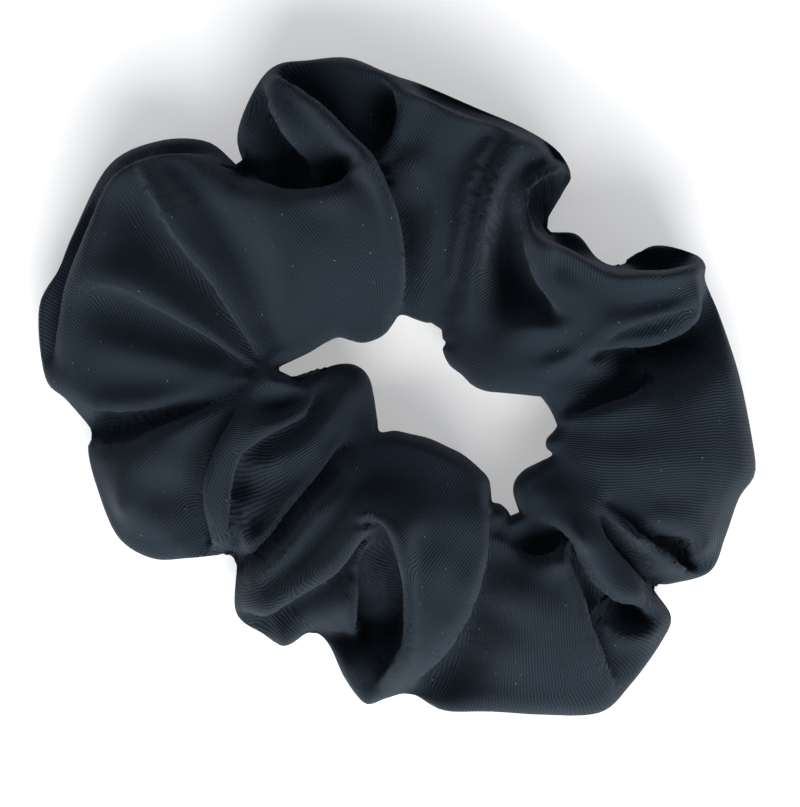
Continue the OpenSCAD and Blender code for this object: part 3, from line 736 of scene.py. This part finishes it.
# Piece-dyed polyester gabardine: fine steep ribs, the near-black navy colour painted paler on the
# rib crests and darker between them as light and shade, a soft sheen, and specks of lint.
# A noise or Voronoi scale is 1000 over a size in mm: 260 is a wander over 4 mm, 2600 the
# grain of 0.4 mm threads, 45 clouds of 22 mm in the dye and 420 lint about 2.4 mm apart.
RIB_PITCH = 0.45       # mm from rib to rib
twill, tree = new_material("gabardine_piece_dyed")
place = add(tree, "ShaderNodeTexCoord")
uv = add(tree, "ShaderNodeUVMap", {"uv_map": "weave"})
split = add(tree, "ShaderNodeSeparateXYZ", links={0: uv.outputs[0]})
wander = add(tree, "ShaderNodeTexNoise", {"Scale": 260, "Detail": 2},
             {"Vector": place.outputs["Object"]})
bent = add(tree, "ShaderNodeMath", {"operation": "MULTIPLY", 1: 0.8}, {0: wander.outputs[0]})
phase = add(tree, "ShaderNodeMath",
            {"operation": "MULTIPLY_ADD", 1: 2000 * math.pi / RIB_PITCH},
            {0: split.outputs[0], 2: bent.outputs[0]})
rib = add(tree, "ShaderNodeMath", {"operation": "SINE"}, {0: phase.outputs[0]})
grain = add(tree, "ShaderNodeTexNoise", {"Scale": 2600, "Detail": 2}, {"Vector": uv.outputs[0]})
weave_height = add(tree, "ShaderNodeMath", {"operation": "MULTIPLY_ADD", 1: 1.6},
                   {0: grain.outputs[0], 2: rib.outputs[0]})
shade = add(tree, "ShaderNodeMapRange", {"From Min": -0.4, "From Max": 2.0},
            {"Value": weave_height.outputs[0]})
# Painted light and shade on the ribs: paler colour on the rib crests, darker in the grooves, with
# the thread grain's own tone mixed in.
rib_light_and_shade = add(tree, "ShaderNodeMix", {"data_type": "RGBA", 6: srgb("#02060a"), 7: srgb("#16242f")},
           {0: shade.outputs[0]})
cloud = add(tree, "ShaderNodeTexNoise", {"Scale": 45, "Detail": 3, "Roughness": 0.6},
            {"Vector": place.outputs["Object"]})
mottle = add(tree, "ShaderNodeMapRange",
             {"From Min": 0.35, "From Max": 0.65, "To Min": 0, "To Max": 0.4},
             {"Value": cloud.outputs[0]})
tint = add(tree, "ShaderNodeMix", {"data_type": "RGBA", 7: srgb("#0a1118")},
           {0: mottle.outputs[0], 6: rib_light_and_shade.outputs[2]})
specks = add(tree, "ShaderNodeTexVoronoi", {"Scale": 420}, {"Vector": place.outputs["Object"]})
speck = add(tree, "ShaderNodeMath", {"operation": "LESS_THAN", 1: 0.042},
            {0: specks.outputs["Distance"]})
lint = add(tree, "ShaderNodeMix", {"data_type": "RGBA", 7: srgb("#5a6570")},
           {0: speck.outputs[0], 6: tint.outputs[2]})
bump = add(tree, "ShaderNodeBump", {"Strength": 0.5, "Distance": 0.0001},
           {"Height": weave_height.outputs[0]})
surface = add(tree, "ShaderNodeBsdfPrincipled",
              {"Roughness": 0.85, "Specular IOR Level": 0.18, "Sheen Weight": 0.12,
               "Sheen Roughness": 0.5, "Sheen Tint": srgb("#9fb0c4")},
              {"Base Color": lint.outputs[2], "Normal": bump.outputs[0]})
add(tree, "ShaderNodeOutputMaterial", links={"Surface": surface.outputs[0]})
cover.data.materials.append(twill)

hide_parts("cover_left", "cover_right")
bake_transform(cover)

# ---------------------------------------------------------------------------------------------
# Long seam: the line of lockstitches that closes the strip into a tube. It lies inside, on the
# tube's floor, and follows the elastic some way out from it.
THREAD_R = 0.15


def loop_path(radius, count, start=0.0, turn=1.0):
    """Points of the loop's route at a radius from its straight middle line, with the way out."""
    straight, arc = 2 * LOOP_STRAIGHT, math.pi * radius
    total = 2 * (straight + arc)
    places, ways = [], []
    for k in range(count):
        s = (start + turn * k * total / count) % total
        if s < straight:
            hub_x, angle = -LOOP_STRAIGHT + s, math.pi / 2
        elif s < straight + arc:
            hub_x, angle = LOOP_STRAIGHT, math.pi / 2 - (s - straight) / radius
        elif s < 2 * straight + arc:
            hub_x, angle = LOOP_STRAIGHT - (s - straight - arc), -math.pi / 2
        else:
            hub_x, angle = -LOOP_STRAIGHT, -math.pi / 2 - (s - 2 * straight - arc) / radius
        way = np.array([math.cos(angle), math.sin(angle)])
        places.append(LOOP_CENTRE + [hub_x, 0] + way * radius)
        ways.append(way)
    return np.array(places), np.array(ways)


def thread(mesh_parts, line, sides=6):
    """Add a round thread with closed ends along a line of points, all in mm."""
    line = np.asarray(line, float)
    heading = np.gradient(line, axis=0)
    heading /= np.linalg.norm(heading, axis=1, keepdims=True)
    aside = np.cross(heading, [0, 0, 1.0])
    flat = np.linalg.norm(aside, axis=1) < 0.1
    aside[flat] = np.cross(heading[flat], [1.0, 0, 0])
    aside /= np.linalg.norm(aside, axis=1, keepdims=True)
    above = np.cross(aside, heading)
    first = len(mesh_parts[0])
    for k, point in enumerate(line):
        thick = THREAD_R * (0.6 if k in (0, len(line) - 1) else 1)
        for m in range(sides):
            a = 2 * math.pi * m / sides
            at = point + thick * (math.cos(a) * aside[k] + math.sin(a) * above[k])
            mesh_parts[0].append(tuple(at / 1000))
    for k in range(len(line) - 1):
        for m in range(sides):
            a, b = first + k * sides + m, first + k * sides + (m + 1) % sides
            mesh_parts[1].append((a, b, b + sides, a + sides))
    mesh_parts[1].append(tuple(first + m for m in range(sides))[::-1])
    mesh_parts[1].append(tuple(first + (len(line) - 1) * sides + m for m in range(sides)))


def new_piece(name, mesh_parts, material):
    mesh = bpy.data.meshes.new(name)
    mesh.from_pydata(mesh_parts[0], [], mesh_parts[1])
    piece = bpy.data.objects.new(name, mesh)
    scene.collection.objects.link(piece)
    face_outwards(piece)
    piece.data.materials.append(material)
    return piece


# Spun polyester sewing thread, two plies twisted together.
spun, tree = new_material("spun_polyester_thread")
place = add(tree, "ShaderNodeTexCoord")
ply = add(tree, "ShaderNodeTexWave", {"Scale": 900, "Distortion": 2},
          {"Vector": place.outputs["Object"]})
dye = add(tree, "ShaderNodeMix", {"data_type": "RGBA", 6: srgb("#04070b"), 7: srgb("#131b24")},
          {0: ply.outputs[1]})
surface = add(tree, "ShaderNodeBsdfPrincipled", {"Roughness": 0.8, "Specular IOR Level": 0.2},
              {"Base Color": dye.outputs[2]})
add(tree, "ShaderNodeOutputMaterial", links={"Surface": surface.outputs[0]})

SEAM_OUT, SEAM_Z, SEAM_STITCHES = 22.5, 1.05, 75
STITCH_RISE = np.array([-0.1, 0.04, 0.1, 0.1, 0.04, -0.1])   # along one stitch, in mm
STITCH_POINTS = len(STITCH_RISE)
stitch_parts = ([], [])
seam, _ = loop_path(SEAM_OUT, SEAM_STITCHES * STITCH_POINTS)
for k in range(SEAM_STITCHES):
    run = seam[STITCH_POINTS * k:STITCH_POINTS * (k + 1)]
    lift = STITCH_RISE + SEAM_Z
    thread(stitch_parts, np.column_stack([run, lift]))
long_seam = new_piece("long_seam", stitch_parts, spun)
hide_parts("long_seam_left", "long_seam_right")
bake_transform(long_seam)

# ---------------------------------------------------------------------------------------------
# Elastic: one length of flat braided elastic, threaded through the tube and closed into a loop
# with its ends overlapped on the left rear run.
BAND_W, BAND_T, BAND_Z = 6.0, 1.0, 11.0
LAP_FROM, LAP_TO = -12.3, -0.3         # the lap's ends, from the loop's centre along +X
BAND_STEPS = 260
LAP_GAP = 0.05
TAIL_BEFORE, TAIL_STEPS = 18, 14       # steps before the lap where the tail moves out, over so many
path, way = loop_path(LOOP_RADIUS, BAND_STEPS, start=LAP_FROM + LOOP_STRAIGHT)
total = 4 * LOOP_STRAIGHT + 2 * math.pi * LOOP_RADIUS
extra = int((LAP_TO - LAP_FROM) / total * BAND_STEPS) + 1
path, way = np.concatenate([path, path[:extra]]), np.concatenate([way, way[:extra]])
tail = np.clip((np.arange(len(path)) - (BAND_STEPS - TAIL_BEFORE)) / TAIL_STEPS, 0, 1)
path = path + way * (tail * tail * (3 - 2 * tail) * (BAND_T + LAP_GAP))[:, None]
section = [(-0.5, -0.44), (-0.36, -0.5), (0.36, -0.5), (0.5, -0.44),
           (0.5, 0.44), (0.36, 0.5), (-0.36, 0.5), (-0.5, 0.44)]
band_parts = ([], [])
for at, out in zip(path, way):
    for across, up in section:
        x, y = at + out * across * BAND_T
        band_parts[0].append((x / 1000, y / 1000, (BAND_Z + up * BAND_W) / 1000))
corner_count = len(section)
for k in range(len(path) - 1):
    for m in range(corner_count):
        a, b = corner_count * k + m, corner_count * k + (m + 1) % corner_count
        band_parts[1].append((a, b, b + corner_count, a + corner_count))
band_parts[1].append(tuple(range(corner_count - 1, -1, -1)))
band_parts[1].append(tuple(corner_count * (len(path) - 1) + m for m in range(corner_count)))

# Braided elastic: white polyester plaited round rubber cores, in rows of small slanting cells.
braid, tree = new_material("braided_elastic")
place = add(tree, "ShaderNodeTexCoord")
cells = add(tree, "ShaderNodeTexVoronoi", {"Scale": 1300}, {"Vector": place.outputs["Object"]})
ribs = add(tree, "ShaderNodeTexWave", {"bands_direction": "Z", "Scale": 160, "Distortion": 1},
           {"Vector": place.outputs["Object"]})
height = add(tree, "ShaderNodeMath", {"operation": "ADD"},
             {0: cells.outputs["Distance"], 1: ribs.outputs[1]})
bump = add(tree, "ShaderNodeBump", {"Strength": 0.6, "Distance": 0.0002},
           {"Height": height.outputs[0]})
surface = add(tree, "ShaderNodeBsdfPrincipled",
              {"Base Color": srgb("#e4e0d6"), "Roughness": 0.75, "Sheen Weight": 0.2},
              {"Normal": bump.outputs[0]})
add(tree, "ShaderNodeOutputMaterial", links={"Surface": surface.outputs[0]})
elastic = new_piece("elastic", band_parts, braid)
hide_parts("elastic_left", "elastic_right")
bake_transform(elastic)

# ---------------------------------------------------------------------------------------------
# Elastic join stitching: a zigzag through the lap that holds the elastic's two ends together.
# It shows on the lap's outer and inner faces.
ZIGZAGS, ZIGZAG_REACH = 8, 2.0
ZIGZAG_MARGIN = 1.2                    # from the zigzag to each end of the lap
outer_y = LOOP_RADIUS + 1.5 * BAND_T + 0.15 + THREAD_R
inner_y = LOOP_RADIUS - 0.5 * BAND_T - 0.1 - THREAD_R
zigzag_run = LAP_TO - LAP_FROM - 2 * ZIGZAG_MARGIN
zigzag_parts = ([], [])
for face_y in (outer_y, inner_y):
    corners = [(LOOP_CENTRE[0] + LAP_FROM + ZIGZAG_MARGIN + k * zigzag_run / ZIGZAGS,
                LOOP_CENTRE[1] + face_y, BAND_Z + (ZIGZAG_REACH if k % 2 else -ZIGZAG_REACH))
               for k in range(ZIGZAGS + 1)]
    line = [np.array(a) * (1 - t) + np.array(b) * t
            for a, b in zip(corners, corners[1:]) for t in (0, 0.25, 0.5, 0.75)] + [corners[-1]]
    thread(zigzag_parts, line)
join = new_piece("elastic_join", zigzag_parts, spun)
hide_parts("elastic_join_stitching")
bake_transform(join)

# ---------------------------------------------------------------------------------------------
# Closing seam: six stitches that close the tube's tucked ends. They follow the cloth round the
# opening's edge at the loop's left end.
SEAM_SPOT = [-22.0, -0.5]              # frame x, y
ROWS_BELOW, ROWS_ABOVE = 11, 4         # the cover's rows that the seam runs over
CLOSING_STITCHES, CLOSING_STEP, CLOSING_LIFT = 6, 0.4, 0.1
left_end = int(np.argmin(np.linalg.norm(tube[:, 0, :2] - SEAM_SPOT, axis=1)))
loop_round = np.concatenate([tube[left_end, -ROWS_BELOW:], tube[left_end, :ROWS_ABOVE]])
across = np.roll(tube, -1, axis=0)[left_end] - np.roll(tube, 1, axis=0)[left_end]
slope = np.gradient(loop_round, axis=0)
side = np.concatenate([across[-ROWS_BELOW:], across[:ROWS_ABOVE]])
outward = np.cross(slope, side)
outward /= np.linalg.norm(outward, axis=1, keepdims=True)
if outward[len(outward) // 2, 0] < 0:
    outward = -outward
seam_line = even_line(loop_round + outward * (THREAD_R + CLOSING_LIFT), CLOSING_STEP)
closing_parts = ([], [])
stitch = len(seam_line) // CLOSING_STITCHES
for k in range(CLOSING_STITCHES):
    thread(closing_parts, seam_line[k * stitch:k * stitch + max(3, stitch - 1)])
closing = new_piece("closing_seam_thread", closing_parts, spun)
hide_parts("closing_seam")
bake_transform(closing)

# ---------------------------------------------------------------------------------------------
# Studio: a plain pale floor, soft light from all round and one large soft panel on the near
# side. The floor's glow reaches only the camera and mirror-like or clear surfaces.
bpy.ops.mesh.primitive_plane_add(size=6, location=(0, 0, 0))
floor = bpy.context.object
floor.name = "floor"
pale, tree = new_material("pale_floor")
rays = add(tree, "ShaderNodeLightPath")
diffuse = add(tree, "ShaderNodeBsdfDiffuse", {"Color": srgb("#f9f9f9")})
direct = add(tree, "ShaderNodeMath", {"operation": "MAXIMUM"},
             {0: rays.outputs["Is Camera Ray"], 1: rays.outputs["Is Glossy Ray"]})
seen = add(tree, "ShaderNodeMath", {"operation": "MAXIMUM"},
           {0: direct.outputs[0], 1: rays.outputs["Is Transmission Ray"]})
glow = add(tree, "ShaderNodeEmission", {"Color": srgb("#ffffff")}, {"Strength": seen.outputs[0]})
both = add(tree, "ShaderNodeMixShader", {0: 0.38}, {1: diffuse.outputs[0], 2: glow.outputs[0]})
add(tree, "ShaderNodeOutputMaterial", links={"Surface": both.outputs[0]})
floor.data.materials.append(pale)

world = bpy.data.worlds.new("studio")
scene.world = world
world.use_nodes = True
world.node_tree.nodes["Background"].inputs["Color"].default_value = srgb("#f4f7ff")
world.node_tree.nodes["Background"].inputs["Strength"].default_value = 0.52


def soft_panel(name, size, power, plan, height):
    """A square light, its size in m and its place in plan mm, aimed at the origin."""
    lamp = bpy.data.lights.new(name, "AREA")
    lamp.size = size
    lamp.energy = power
    holder = bpy.data.objects.new(name, lamp)
    scene.collection.objects.link(holder)
    x, y = to_frame(plan)
    holder.location = (x / 1000, y / 1000, height / 1000)
    holder.rotation_euler = (-holder.location).to_track_quat("-Z", "Y").to_euler()
    return holder


soft_panel("near_panel", 0.9, 28, (130, -840), 740)
